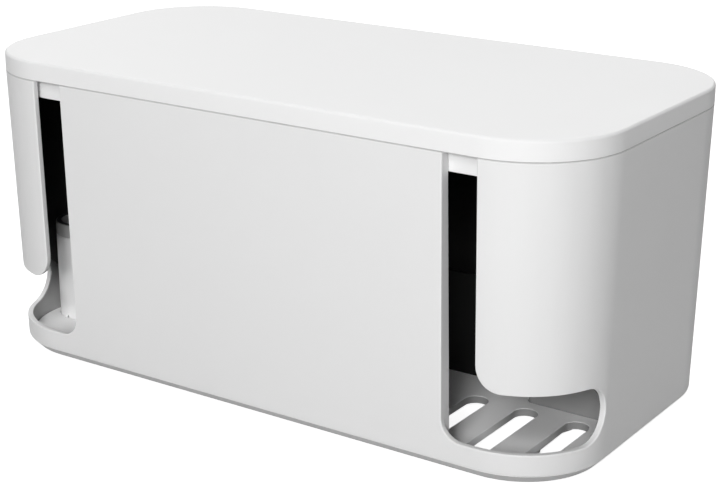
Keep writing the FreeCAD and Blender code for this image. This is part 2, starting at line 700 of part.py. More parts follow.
def vent_outline(sketch, centre, half_wide, front, rear):
    """Slot along the sketch's y axis with half-round ends."""
    left = f"{centre} - {half_wide}"
    right = f"{centre} + {half_wide}"
    low = f"{front} + {half_wide}"
    high = f"{rear} - {half_wide}"
    vector = FreeCAD.Vector
    places = [(right, low), (right, high), (left, high), (left, low)]
    points = [vector(number(x), number(y), 0) for x, y in places]
    middle = number(centre)
    rising = sketch.addGeometry(Part.LineSegment(points[0], points[1]), False)
    far_circle = Part.Circle(vector(middle, points[1].y, 0), vector(0, 0, 1), number(half_wide))
    far = sketch.addGeometry(Part.ArcOfCircle(far_circle, 0, math.pi), False)
    falling = sketch.addGeometry(Part.LineSegment(points[2], points[3]), False)
    near_circle = Part.Circle(vector(middle, points[0].y, 0), vector(0, 0, 1), number(half_wide))
    near = sketch.addGeometry(Part.ArcOfCircle(near_circle, math.pi, 2 * math.pi), False)
    sketch.addConstraint(Sketcher.Constraint("Vertical", rising))
    sketch.addConstraint(Sketcher.Constraint("Tangent", rising, 2, far, 1))
    sketch.addConstraint(Sketcher.Constraint("Tangent", far, 2, falling, 1))
    sketch.addConstraint(Sketcher.Constraint("Tangent", falling, 2, near, 1))
    sketch.addConstraint(Sketcher.Constraint("Tangent", near, 2, rising, 1))
    pin_place(sketch, "DistanceX", rising, 1, right)
    pin_place(sketch, "DistanceX", falling, 1, left)
    pin_place(sketch, "DistanceY", far, 3, high)
    pin_place(sketch, "DistanceY", near, 3, low)


def rest_edges(side, inset="0"):
    """Left, right, front and rear edges of one rest's plan, moved in by an inset."""
    if side == "left":
        left, right = f"-({REST_OUTER})", f"-({LEFT_REST_NEAR})"
        front, rear = f"-({LEFT_REST_FRONT})", f"-({LEFT_REST_REAR})"
    else:
        left, right = RIGHT_REST_NEAR, REST_OUTER
        front, rear = f"-{size('right_rest_front')}", RIGHT_REST_REAR
    return f"{left} + ({inset})", f"{right} - ({inset})", f"{front} + ({inset})", f"{rear} - ({inset})"


def rest_outline(sketch, side, inset):
    """Plan of one rest, moved in by an inset."""
    left, right, front, rear = rest_edges(side, inset)
    if side == "left":
        outer_round = f"{size('left_rest_round')} - ({inset})"
        near_round = f"{size('rest_corner_round')} - ({inset})"
    else:
        outer_round = f"{size('right_rest_round')} - ({inset})"
        near_round = None
    square_outline(sketch, [
        (left, front, outer_round),
        (right, front, near_round),
        (right, rear, None),
        (left, rear, None),
    ])


def rest_middle(side):
    """Where the hooks of one rest stand along the box."""
    left, right, _, _ = rest_edges(side)
    return f"(({left}) + ({right})) / 2"


def hook_walls(side):
    """The two walls of a rest that carry its hooks: name, outer face and the way out of it."""
    _, _, front, rear = rest_edges(side)
    return ("front", f"({front})", "-1"), ("rear", f"({rear})", "1")


def make_rest(side):
    """Upright rest on the floor: a moulded block, open underneath, with hooks that snap in under the floor."""
    body = new_body(f"{side}_rest")
    plan = new_sketch(body, f"{side}_block_plan", "XY_Plane", SHELL_FOOT)
    rest_outline(plan, side, "0")
    high = f"{REST_TOP} - ({SHELL_FOOT})"
    pad(body, f"{side}_block", plan, high)
    hollow = new_sketch(body, f"{side}_hollow_plan", "XY_Plane", SHELL_FOOT)
    wall = size("rest_wall")
    rest_outline(hollow, side, wall)
    pocket(body, f"{side}_hollow", hollow, f"{high} - {wall}", reverse=True)

    # Each hook goes on from its wall, through the floor, and its barb catches the floor's underside.
    root = f"{SHELL_FOOT} + {wall}"
    catch = f"{FLOOR_UNDER} - {size('hook_gap')}"
    tip = f"{catch} - {size('hook_high')}"
    for name, face, way in hook_walls(side):
        hook = new_sketch(body, f"{side}_{name}_hook_side", "YZ_Plane", rest_middle(side))
        inner = f"{face} - {way} * {wall}"
        free_outline(hook, [
            (inner, root),
            (face, root),
            (face, catch),
            (f"{face} + {way} * {size('hook_reach')}", catch),
            (face, tip),
            (inner, tip),
        ])
        pad(body, f"{side}_{name}_hook", hook, size("hook_wide"), middle=True)
    return body


def make_rest_lip(side):
    """Soft lip round the front and sides of a rest's top, open to the back."""
    body = new_body(f"{side}_rest_lip")
    plan = new_sketch(body, f"{side}_lip_plan", "XY_Plane", REST_TOP)
    rest_outline(plan, side, "0")
    pad(body, f"{side}_lip", plan, size("lip_rise"))
    cut = new_sketch(body, f"{side}_lip_cut_plan", "XY_Plane", REST_TOP)
    thick = size("lip_thick")
    left, right, front, _ = rest_edges(side, thick)
    rear = f"{rest_edges(side)[3]} + {thick}"
    rounding = f"{size('left_rest_round')} - {thick}" if side == "left" else None
    square_outline(cut, [(left, front, rounding), (right, front, None), (right, rear, None), (left, rear, None)])
    pocket(body, f"{side}_lip_cut", cut, size("lip_rise"), reverse=True)
    return body


def divider_plan(sketch, gap):
    """The divider's plan, widened by a gap."""
    left = f"{DIVIDER_LEFT} - ({gap})"
    right = f"{DIVIDER_RIGHT} + ({gap})"
    front = f"{size('divider_front')} - ({gap})"
    rear = f"{DIVIDER_REAR} + ({gap})"
    block_outline(sketch, left, front, right, rear)


def make_divider():
    """Black upright panel that parts the front bay from the rear bay."""
    body = new_body("divider")
    top = f"{size('foot_stand')} + {size('divider_top')}"
    panel = new_sketch(body, "divider_face", "XZ_Plane", f"-({DIVIDER_REAR})")
    square_outline(panel, [
        (DIVIDER_LEFT, SHELL_FOOT, None),
        (DIVIDER_RIGHT, SHELL_FOOT, None),
        (DIVIDER_RIGHT, top, size("divider_round")),
        (DIVIDER_LEFT, top, size("divider_round")),
    ])
    pad(body, "divider_panel", panel, size("divider_thick"))
    return body


def make_liner_front():
    """Lining sheet on the front wall, between the two return ribs."""
    body = new_body("liner_front")
    low = LINER_LOW
    high = LINER_HIGH
    side = new_sketch(body, "liner_front_side", "YZ_Plane")
    corners = []
    for height, thick in ((low, "0"), (low, size("liner_thick")), (high, size("liner_thick")), (high, "0")):
        face = f"{HALF_DEEP} - ({lean_at(height)}) - ({LINER_BACK})"
        corners.append((f"-({face}) + {thick}", height))
    free_outline(side, corners)
    half_long = f"{SLOT_NEAR} - {size('return_wide')} - {size('liner_gap')}"
    pad(body, "liner_front_sheet", side, f"2 * ({half_long})", middle=True)
    return body


def make_liner_wrap():
    """Lining of the flaps, both ends and the back, in one strip that steps down behind the openings.

    The strip is bent from flat sheet, so each corner has one radius from foot to head.
    """
    body = new_body("liner_wrap")
    low = f"{FLOOR_TOP} + {size('liner_edge')}"
    drafted_ring(body, "liner", low, LINER_HIGH, LINER_BACK, LINER_FACE, one_bend=True)
    doc.recompute()
    past = size("wall_thick")
    gap = new_sketch(body, "liner_front_gap_face", "XZ_Plane")
    edge = f"{SLOT_FAR} + {size('liner_edge')}"
    block_outline(gap, f"-({edge})", f"{low} - {past}", edge, f"{LINER_HIGH} + {past}")
    pocket(body, "liner_front_gap", gap, None, reverse=True)

    # The strip's lower edge follows the flaps in front and the floor behind them.
    step = new_sketch(body, "liner_step_face", "YZ_Plane")
    block_outline(step, f"-({HALF_DEEP})", f"{low} - {past}", f"-{size('liner_step')}", LINER_LOW)
    step_cut = pocket(body, "liner_step_cut", step)
    step_cut.Midplane = True

    # Notches clear the bosses on the back wall.
    notches = new_sketch(body, "liner_notch_face", "XZ_Plane")
    notch_top = f"{FLOOR_TOP} + {size('boss_gap')} + {size('boss_long')} + {size('liner_edge')}"
    half_notch = f"{size('boss_round')} + {size('liner_edge')}"
    for sign in ("-1", "1"):
        centre = f"{sign} * ({BOSS_SPREAD})"
        sides = (f"{centre} - ({half_notch})", f"{centre} + {half_notch}")
        block_outline(notches, sides[0], f"{low} - {past}", sides[1], notch_top)
    pocket(body, "liner_notches", notches)
    return body


def make_foot(name, x, y):
    """Rubber foot: a disc set into its recess."""
    body = new_body(name)
    disc = new_sketch(body, f"{name}_plan", "XY_Plane")
    circles(disc, [(x, y)], size("foot_round"))
    pad(body, f"{name}_disc", disc, f"{size('foot_stand')} + {size('foot_sink')}")
    return body


def make_base_screws():
    """Pan-head screws that hold the base plate to the wall's bosses, heads down, as separate solids."""
    solids = []
    head_high = number(size("head_high"))
    level = number(f"{BASE_FOOT} + {size('head_high')} + {size('head_gap')}")
    for x, y in four_places(BOSS_SPREAD, BOSS_BACK):
        foot = FreeCAD.Vector(number(x), number(y), level - head_high)
        head = Part.makeCylinder(number(size("head_round")), head_high, foot)
        neck = FreeCAD.Vector(number(x), number(y), level)
        shank = Part.makeCylinder(number(size("screw_round")), number(size("screw_long")), neck)
        solids.append(head.fuse(shank).removeSplitter())
    feature = doc.addObject("Part::Feature", "base_screws")
    feature.Label = "base_screws"
    feature.Shape = Part.makeCompound(solids)
    feature.Placement = FreeCAD.Placement()
    return feature


def check_document():
    """Stop if any feature failed to build."""
    for item in doc.Objects:
        if "Invalid" in item.State or "Error" in item.State:
            raise RuntimeError(f"{item.Name} did not build: {item.State}")


def main():
    """Build every piece and write each one's file."""
    pieces = [
        make_body_shell(),
        make_lid(),
        make_base_plate(),
        make_rest("left"),
        make_rest("right"),
        make_rest_lip("left"),
        make_rest_lip("right"),
        make_divider(),
        make_liner_front(),
        make_liner_wrap(),
    ]
    foot_names = ("foot_front_left", "foot_front_right", "foot_rear_right", "foot_rear_left")
    for name, (x, y) in zip(foot_names, four_places(FOOT_SPREAD, FOOT_BACK)):
        pieces.append(make_foot(name, x, y))
    pieces.append(make_base_screws())
    doc.recompute()
    check_document()
    os.makedirs("parts", exist_ok=True)
    for piece in pieces:
        if piece.Shape.isNull() or not piece.Shape.isValid():
            raise RuntimeError(f"{piece.Label} has no valid shape")
        piece.Shape.exportStep(os.path.join("parts", f"{piece.Label}.step"))
        print(f"{piece.Label}: {len(piece.Shape.Solids)} solids, {piece.Shape.Volume:.1f} cubic mm")


main()
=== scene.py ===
"""Look of the cable management box: white mouldings, black felt, rubber and plated screws.

Metres, +Z up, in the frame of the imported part.
"""
from __future__ import annotations

import json
import logging
import math
from dataclasses import dataclass
from enum import Enum

import bmesh
import bpy
from mathutils import Euler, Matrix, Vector

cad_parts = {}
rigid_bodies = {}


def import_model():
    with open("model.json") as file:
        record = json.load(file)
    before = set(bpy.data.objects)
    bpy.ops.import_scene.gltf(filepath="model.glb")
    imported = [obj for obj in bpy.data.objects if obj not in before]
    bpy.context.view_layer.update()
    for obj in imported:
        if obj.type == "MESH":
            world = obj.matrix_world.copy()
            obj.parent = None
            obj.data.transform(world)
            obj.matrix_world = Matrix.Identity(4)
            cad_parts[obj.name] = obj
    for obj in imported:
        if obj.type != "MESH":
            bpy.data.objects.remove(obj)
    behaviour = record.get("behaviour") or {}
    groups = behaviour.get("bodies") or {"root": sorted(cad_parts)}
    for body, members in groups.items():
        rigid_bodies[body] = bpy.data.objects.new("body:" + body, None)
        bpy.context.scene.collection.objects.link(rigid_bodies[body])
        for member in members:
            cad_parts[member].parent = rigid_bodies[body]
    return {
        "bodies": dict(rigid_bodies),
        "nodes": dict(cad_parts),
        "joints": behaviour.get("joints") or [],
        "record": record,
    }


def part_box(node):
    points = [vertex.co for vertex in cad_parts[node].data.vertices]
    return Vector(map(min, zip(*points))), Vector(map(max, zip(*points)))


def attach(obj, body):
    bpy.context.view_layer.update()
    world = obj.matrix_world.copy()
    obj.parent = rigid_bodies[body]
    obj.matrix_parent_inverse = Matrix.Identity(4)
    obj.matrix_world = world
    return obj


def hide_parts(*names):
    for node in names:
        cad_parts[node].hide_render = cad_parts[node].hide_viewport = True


LOG = logging.getLogger("cable_box")
MM = 0.001
TOUCH = 0.001 * MM  # points closer than this are one
FLOOR_FACE = 5.9 * MM  # top of the vented floor
SEAM = 129.6 * MM  # where the lid lies on the wall
Colour = tuple[float, float, float]
Span = tuple[float, float]  # the values at which a share is 0 and 1
Point = tuple[float, float]  # distance along a flat cut, and height


def grey(level: float) -> Colour:
    """Neutral colour of one level."""
    return (level, level, level)


def opaque(colour: Colour) -> tuple[float, float, float, float]:
    """Colour with a full fourth channel, as sockets take it."""
    return (*colour, 1.0)


@dataclass(frozen=True)
class Term:
    """Output of a shader node, with arithmetic that adds Math nodes."""

    graph: "Graph"
    socket: bpy.types.NodeSocket | None

    def _math(self, operation: str, first: "Term | float", second: "Term | float") -> "Term":
        """Join two numbers with one Math node."""
        return self.graph.node("ShaderNodeMath", {"operation": operation}, {0: first, 1: second})

    def __add__(self, other: "Term | float") -> "Term":
        """Sum."""
        return self._math("ADD", self, other)

    def __radd__(self, other: float) -> "Term":
        """Sum with a plain number on the left."""
        return self._math("ADD", other, self)

    def __sub__(self, other: "Term | float") -> "Term":
        """Difference."""
        return self._math("SUBTRACT", self, other)

    def __rsub__(self, other: float) -> "Term":
        """Difference with a plain number on the left."""
        return self._math("SUBTRACT", other, self)

    def __mul__(self, other: "Term | float") -> "Term":
        """Product."""
        return self._math("MULTIPLY", self, other)

    def __rmul__(self, other: float) -> "Term":
        """Product with a plain number on the left."""
        return self._math("MULTIPLY", other, self)


class Graph:
    """Node tree of a material or of the surroundings while it is built."""

    EDGE_SAMPLES = 6
    EDGE_FULL = 0.25

    def __init__(self, owner: bpy.types.Material | bpy.types.World) -> None:
        """Start an empty tree.

        Args:
            owner: the material or the surroundings that it belongs to.
        """
        owner.use_nodes = True
        self.owner = owner
        self.tree = owner.node_tree
        self.tree.nodes.clear()

    @classmethod
    def of_material(cls, name: str) -> "Graph":
        """Empty tree of a new material."""
        return cls(bpy.data.materials.new(name))

    def node(
        self,
        kind: str,
        settings: dict[str, object] | None = None,
        inputs: dict[str | int, object] | None = None,
        output: str | int = 0,
    ) -> Term:
        """Add a node.

        Args:
            kind: type of the node.
            settings: properties that are set before the sockets, with a ramp's stops under "stops".
            inputs: a value or a Term for each socket, by name or number.
            output: which output to return.

        Returns:
            The chosen output.
        """
        made = self.tree.nodes.new(kind)
        for name, value in (settings or {}).items():
            if name == "stops":
                self._set_stops(made.color_ramp, value)
            else:
                setattr(made, name, value)
        for key, value in (inputs or {}).items():
            if isinstance(value, Term):
                self.tree.links.new(value.socket, made.inputs[key])
            else:
                made.inputs[key].default_value = value
        return Term(self, made.outputs[output] if made.outputs else None)

    @staticmethod
    def _set_stops(ramp: bpy.types.ColorRamp, stops: list[tuple[float, float]]) -> None:
        """Give a ramp grey stops.

        Args:
            ramp: ramp with its two first stops.
            stops: place and level of each stop, in order.
        """
        while len(ramp.elements) < len(stops):
            ramp.elements.new(1.0)
        for element, (place, level) in zip(ramp.elements, stops):
            element.position = place
            element.color = opaque(grey(level))

    def blend(self, share: Term | float, first: Term | Colour, second: Term | Colour) -> Term:
        """Mix two colours.

        Args:
            share: how much of the second colour shows.
            first: colour or Term.
            second: colour or Term.

        Returns:
            The mixed colour.
        """
        first, second = (colour if isinstance(colour, Term) else opaque(colour) for colour in (first, second))
        return self.node("ShaderNodeMix", {"data_type": "RGBA"}, {0: share, 6: first, 7: second}, 2)

    def ramp(self, value: Term, span: Span) -> Term:
        """Share that runs from 0 at the span's first value to 1 at its second, which may be the lower."""
        start, end = span
        return self.node("ShaderNodeMapRange", None, {"Value": value, "From Min": start, "From Max": end})

    def vector(self, operation: str, inputs: dict[int, object], output: str = "Vector") -> Term:
        """Result of a Vector Math node."""
        return self.node("ShaderNodeVectorMath", {"operation": operation}, inputs, output)

    def along(self, vector: Term, axis: str) -> Term:
        """Coordinate of a vector along the axis of that letter."""
        return self.node("ShaderNodeSeparateXYZ", None, {"Vector": vector}, axis)

    def place(self) -> Term:
        """Point of the surface in the part's frame."""
        return self.node("ShaderNodeTexCoord", output="Object")

    def facing(self) -> Term:
        """Direction that the face looks in, without any smoothing."""
        return self.node("ShaderNodeNewGeometry", output="True Normal")

    def noise(self, place: Term, size: float, detail: float = 2.0, distortion: float = 0.0) -> Term:
        """Noise whose blotches have about one size.

        Args:
            place: where it is read.
            size: size of a blotch, in metres.
            detail: how many finer layers it has.
            distortion: how far it is swirled.

        Returns:
            The noise, from 0 to 1.
        """
        inputs = {"Vector": place, "Scale": 1 / size, "Detail": detail, "Distortion": distortion}
        return self.node("ShaderNodeTexNoise", None, inputs)

    def stretched(self, place: Term, scale: tuple[float, float, float]) -> Term:
        """Place with each axis scaled by itself."""
        return self.vector("MULTIPLY", {0: place, 1: scale})

    def edge(self, reach: float) -> Term:
        """How near a convex or concave edge is.

        Args:
            reach: distance at which the edge is first felt, in metres.

        Returns:
            A mask, 1 on the edge and 0 away from it.
        """
        rounded = self.node("ShaderNodeBevel", {"samples": self.EDGE_SAMPLES}, {"Radius": reach})
        agreement = self.vector("DOT_PRODUCT", {0: rounded, 1: self.facing()}, "Value")
        stops = [(0.0, 0.0), (self.EDGE_FULL, 1.0)]
        return self.node("ShaderNodeValToRGB", {"stops": stops}, {"Fac": 1.0 - agreement})

    def bump(self, height: Term, depth: float, strength: float = 1.0, under: Term | None = None) -> Term:
        """Surface relief.

        Args:
            height: relief, from 0 to 1.
            depth: how deep it is, in metres.
            strength: share of it that shows.
            under: relief that it is added to.

        Returns:
            The bent normal.
        """
        inputs: dict[str | int, object] = {"Strength": strength, "Distance": depth, "Height": height}
        if under is not None:
            inputs["Normal"] = under
        return self.node("ShaderNodeBump", None, inputs)

    def finish(self, inputs: dict[str | int, object]) -> bpy.types.Material:
        """Close the tree with the main shader.

        Args:
            inputs: a value or a Term for each of its sockets.

        Returns:
            The material.
        """
        shader = self.node("ShaderNodeBsdfPrincipled", None, inputs)
        self.node("ShaderNodeOutputMaterial", None, {"Surface": shader})
        return self.owner


@dataclass(frozen=True)
class InsideWall:
    """The drafted wall's inside, where the middle of the felt lies."""

    half_long: float = 150.0 * MM
    half_deep: float = 76.2 * MM
    corner: float = 39.7 * MM
    lean: float = 2.85 * MM
    lean_foot: float = 5.1 * MM
    lean_head: float = SEAM
    inset: float = 3.1 * MM
    strip_end: float = 111.1 * MM
    level: float = 39.1 * MM

    @property
    def radius(self) -> float:
        """Bend of the felt in the corners."""
        return self.corner - self.inset

    def drop(self, height: float) -> float:
        """How far the wall has leaned in at a height."""
        return self.lean * (self.lean_head - height) / (self.lean_head - self.lean_foot)

    def runs(self, height: float) -> tuple[float, float, float, float]:
        """Lengths of half the back, the rear bend, the end and the front bend.

        Args:
            height: where they are measured.

        Returns:
            The four lengths, from the middle of the back to the strip's end.
        """
        drop = self.drop(height)
        back = self.half_long - self.corner - drop
        end = 2 * (self.half_deep - self.corner - drop)
        front_turn = math.acos((self.strip_end - back) / self.radius)
        return back, self.radius * math.pi / 2, end, self.radius * front_turn

    def wrapped(self, along: float, height: float) -> Vector:
        """Where a point of the long strip's flat cut comes to lie.

        Args:
            along: distance from the middle of the back, at the level where the cut is measured.
            height: height above the ground.

        Returns:
            The point in the part's frame.
        """
        back, bend, end, front = self.runs(height)
        left = abs(along)
        for run, flat in enumerate(self.runs(self.level)):
            if left <= flat:
                break
            left -= flat
        share = min(left / flat, 1.0)
        middle = end / 2
        if run == 0:
            x, y = back * share, middle + self.radius
        elif run == 1:
            turn = math.pi / 2 * (1 - share)
            x, y = back + self.radius * math.cos(turn), middle + self.radius * math.sin(turn)
        elif run == 2:
            x, y = back + self.radius, middle - end * share
        else:
            turn = front / self.radius * share
            x, y = back + self.radius * math.cos(turn), -middle - self.radius * math.sin(turn)
        return Vector((math.copysign(x, along), y, height))

    def in_front(self, along: float, height: float) -> Vector:
        """Where a point of the front sheet's flat cut comes to lie.

        Args:
            along: distance from the middle plane.
            height: height above the ground.

        Returns:
            The point in the part's frame.
        """
        return Vector((along, -(self.half_deep - self.drop(height) - self.inset), height))

    def depth(self, graph: Graph, place: Term, height: Term) -> Term:
        """How deep a point of a surface lies behind the wall's outer face.

        Args:
            graph: the graph that it is built in.
            place: point of the surface.
            height: its height.

        Returns:
            The depth, in metres.
        """
        flat = graph.stretched(place, (1.0, 1.0, 0.0))
        mirrored = graph.vector("ABSOLUTE", {0: flat})
        centre = (self.half_long - self.corner, self.half_deep - self.corner, 0.0)
        beyond = graph.vector("SUBTRACT", {0: mirrored, 1: centre})
        outward = graph.vector("MAXIMUM", {0: beyond, 1: (0.0, 0.0, 0.0)})
        reach = graph.vector("LENGTH", {0: outward}, "Value")
        slope = self.lean / (self.lean_head - self.lean_foot)
        return height * slope + (self.corner - self.lean_head * slope) - reach


@dataclass(frozen=True)
class Band:
    """Heights between which a surface has a colour of its own, here the painted shade along the seam where
    lid and wall meet.
    """

    low: float
    high: float
    fade: float = 0.1 * MM
    colour: Colour = grey(0.62)

    def share(self, graph: Graph, height: Term) -> Term:
        """How much of the band's colour shows at a height.

        Args:
            graph: the graph that it is built in.
            height: height of a point of the surface.

        Returns:
            A mask, 1 inside the band.
        """
        above_low = graph.ramp(height, (self.low - self.fade, self.low))
        below_high = graph.ramp(height, (self.high + self.fade, self.high))
        return above_low * below_high


@dataclass(frozen=True)
class MouldedPlastic:
    """Matte plastic with the fine grain of a spark-eroded mould, a little polished on its edges, whose paler
    edges are partly wear and partly a painted highlight.

    Cloud, grain and handling are the sizes of its blotches. Dulling and polish are what they do to roughness.
    """

    name: str
    colour: Colour
    # colour of the edges: partly wear, partly a painted highlight
    worn: Colour
    roughness: float = 0.56
    cloud: float = 70 * MM
    cloud_depth: float = 0.02
    grain: float = 0.45 * MM
    grain_depth: float = 0.012 * MM
    handling: float = 22 * MM
    edge_reach: float = 0.7 * MM
    wear_and_highlight_share: float = 0.9
    bands: tuple[Band, ...] = ()
    dulling: float = 0.1
    polish: float = 0.08
    grain_dulling: float = 0.03
    gloss: float = 0.2

    def material(self) -> bpy.types.Material:
        """Build the material.

        Returns:
            The material.
        """
        graph = Graph.of_material(self.name)
        place = graph.place()
        cloud = graph.noise(place, self.cloud)
        handling = graph.noise(place, self.handling, 3.0)
        grain = graph.noise(place, self.grain, 1.0)
        edge = graph.edge(self.edge_reach)
        shade = tuple(channel * (1 - self.cloud_depth) for channel in self.colour)
        body = self._painted_shade(graph, place, graph.blend(cloud, shade, self.colour))
        # paler edges: partly wear, partly a painted highlight
        colour = graph.blend(edge * self.wear_and_highlight_share, body, self.worn)
        if self.bands:
            height = graph.along(place, "Z")
            for band in self.bands:
                colour = graph.blend(band.share(graph, height), colour, band.colour)
        worn_rough = self.roughness + handling * self.dulling - edge * self.polish
        roughness = worn_rough + grain * self.grain_dulling
        normal = graph.bump(grain, self.grain_depth)
        return graph.finish({"Base Color": colour, "Roughness": roughness, "Normal": normal,
                             "Specular IOR Level": self.gloss})

    def _painted_shade(self, graph: Graph, place: Term, body: Term) -> Term:
        """Colour away from the edges, as it is unless a kind of plastic paints shade on a part of it."""
        return body


@dataclass(frozen=True)
class WallPlastic(MouldedPlastic):
    """The wall's plastic, with painted shade on the inside of both ends, the darker the further up.

    The spans are heights for rise and fading, depths behind the outer face for skin, and distances from the
    middle plane for ends.
    """

    painted_shade_low: Colour = grey(0.36)
    painted_shade_high: Colour = grey(0.14)
    rise: Span = (12 * MM, 32 * MM)
    skin: Span = (2.3 * MM, 2.5 * MM)
    ends: Span = (106 * MM, 110 * MM)
    fading: Span = (100 * MM, 60 * MM)

    def _painted_shade(self, graph: Graph, place: Term, body: Term) -> Term:
        """Paint shade on the inside of both ends.

        Args:
            graph: the graph that it is built in.
            place: point of the surface.
            body: the colour elsewhere.

        Returns:
            The colour with the painted shade inside.
        """
        height = graph.along(place, "Z")
        inside = graph.ramp(InsideWall().depth(graph, place, height), self.skin)
        mirrored = graph.vector("ABSOLUTE", {0: place})
        at_end = graph.ramp(graph.along(mirrored, "X"), self.ends)
        below = graph.ramp(height, self.fading)
        # painted shade inside both ends, darker further up
        dark = graph.blend(graph.ramp(height, self.rise), self.painted_shade_low, self.painted_shade_high)
        return graph.blend(inside * at_end * below, body, dark)


@dataclass(frozen=True)
class PlatePlastic(MouldedPlastic):
    """The base plate's plastic, with painted shade at the foot of its rim and in the rear of its vents'
    walls.

    The spans are depths behind the wall's outer face for rim, heights for foot and under, squares of the
    upward share of a face's direction for steepness, and places from front to back for rearward.
    """

    painted_low_tone: Colour = grey(0.62)
    vents: Colour = grey(0.32)
    rim: Span = (6 * MM, 7 * MM)
    foot: Span = (FLOOR_FACE - 0.3 * MM, FLOOR_FACE - 1.3 * MM)
    under: Span = (FLOOR_FACE, FLOOR_FACE - 0.4 * MM)
    steepness: Span = (0.3, 0.1)
    rearward: Span = (-42 * MM, -20 * MM)

    def _painted_shade(self, graph: Graph, place: Term, body: Term) -> Term:
        """Paint shade on the foot of the plate and on the vents' walls.

        Args:
            graph: the graph that it is built in.
            place: point of the surface.
            body: the colour elsewhere.

        Returns:
            The colour with both painted shades.
        """
        height = graph.along(place, "Z")
        inside = graph.ramp(InsideWall().depth(graph, place, height), self.rim)
        # painted shade on the foot of the rim, which faces down
        low = graph.ramp(height, self.foot)
        shaded = graph.blend(low * (1.0 - inside), body, self.painted_low_tone)
        # painted shade on the vents' walls, the more towards the rear
        upward = graph.along(graph.facing(), "Z")
        steep = graph.ramp(upward * upward, self.steepness)
        below = graph.ramp(height, self.under)
        rear = graph.ramp(graph.along(place, "Y"), self.rearward)
        return graph.blend(steep * inside * below * rear, shaded, self.vents)


@dataclass(frozen=True)
class Felt:
    """Thin needled felt: tangled fibres and paler lint. Its black also stands in for the deep shade inside
    the box, and it is paler lower down as painted light.
    """

    name: str
    colour: Colour
    lint: Colour
    painted_low_tone: Colour
    fibre: float = 1.1 * MM
    swirl: float = 2.5
    depth: float = 0.12 * MM
    coarse_share: float = 0.7
    patch: float = 30 * MM
    lint_span: Span = (0.42, 0.68)
    lint_least: float = 0.4
    painted_light_span: Span = (95 * MM, 40 * MM)
    painted_light_least: float = 0.7
    painted_light_swing: float = 0.6
    roughness: float = 0.9
    gloss: float = 0.15

    def material(self) -> bpy.types.Material:
        """Build the material.

        Returns:
            The material.
        """
        graph = Graph.of_material(self.name)
        place = graph.place()
        tangle = graph.noise(place, self.fibre, 4.0, self.swirl)
        fine = graph.noise(place, self.fibre / 3, 3.0, 1.0)
        worn = graph.noise(place, self.patch)
        stops = list(zip(self.lint_span, (0.0, 1.0)))
        fibres = graph.node("ShaderNodeValToRGB", {"stops": stops}, {"Fac": tangle})
        lint = fibres * (self.lint_least + worn * (1 - self.lint_least))
        clean = graph.blend(lint, self.colour, self.lint)
        # painted light: paler lower down, where light comes in at the openings
        dust = graph.ramp(graph.along(place, "Z"), self.painted_light_span)
        colour = graph.blend(dust * (self.painted_light_least + tangle * self.painted_light_swing), clean, self.painted_low_tone)
        normal = graph.bump(tangle * self.coarse_share + fine * (1 - self.coarse_share), self.depth)
        roughness = self.roughness + fine * (1 - self.roughness)
        return graph.finish({"Base Color": colour, "Roughness": roughness, "Normal": normal,
                             "Specular IOR Level": self.gloss})


@dataclass(frozen=True)
class Rubber:
    """Soft rubber with a dust bloom, paler edges that are partly a painted highlight and, if wanted, painted
    shade on its top faces.
    """

    name: str
    colour: Colour
    # colour of the dust bloom and of the edges, where it is partly a painted highlight
    bloom: Colour
    # painted shade on the top faces
    crown: Colour
    bloom_and_highlight_share: float = 0.4
    roughness: float = 0.75
    dust: float = 9 * MM
    dust_share: float = 0.2
    dulling: float = 0.12
    grain: float = 0.3 * MM
    grain_depth: float = 0.02 * MM
    edge_reach: float = 0.8 * MM
    painted_shade_facing: Span = (0.95, 0.99)

    def material(self) -> bpy.types.Material:
        """Build the material.

        Returns:
            The material.
        """
        graph = Graph.of_material(self.name)
        place = graph.place()
        dust = graph.noise(place, self.dust, 4.0)
        grain = graph.noise(place, self.grain, 1.0)
        edge = graph.edge(self.edge_reach)
        # painted shade on the top faces
        painted_shade_top = graph.ramp(graph.along(graph.facing(), "Z"), self.painted_shade_facing)
        dusted = graph.blend(dust * self.dust_share, self.colour, self.bloom)
        body = graph.blend(painted_shade_top, dusted, self.crown)
        # paler edges: bloom, and a painted highlight
        colour = graph.blend(edge * self.bloom_and_highlight_share, body, self.bloom)
        roughness = self.roughness + dust * self.dulling
        normal = graph.bump(grain, self.grain_depth)
        return graph.finish({"Base Color": colour, "Roughness": roughness, "Normal": normal})


@dataclass(frozen=True)
class PlatedSteel:
    """Zinc plate on a turned screw, with turning marks and duller blotches."""

    name: str
    colour: Colour
    dull: Colour
    roughness: float = 0.3
    blotch: float = 1.6 * MM
    marks: float = 0.8 * MM
    marks_scale: tuple[float, float, float] = (1.0, 1.0, 12.0)
    marks_depth: float = 0.01 * MM
    edge_reach: float = 0.3 * MM
    edge_clean: float = 0.6
    dulling: float = 0.2
    polish: float = 0.08

    def material(self) -> bpy.types.Material:
        """Build the material.

        Returns:
            The material.
        """
        graph = Graph.of_material(self.name)
        place = graph.place()
        blotch = graph.noise(place, self.blotch, 3.0)
        marks = graph.noise(graph.stretched(place, self.marks_scale), self.marks)
        edge = graph.edge(self.edge_reach)
        colour = graph.blend(blotch * (1.0 - edge * self.edge_clean), self.colour, self.dull)
        roughness = self.roughness + blotch * self.dulling - edge * self.polish
        normal = graph.bump(marks, self.marks_depth)
        return graph.finish({"Base Color": colour, "Roughness": roughness, "Metallic": 1.0, "Normal": normal})


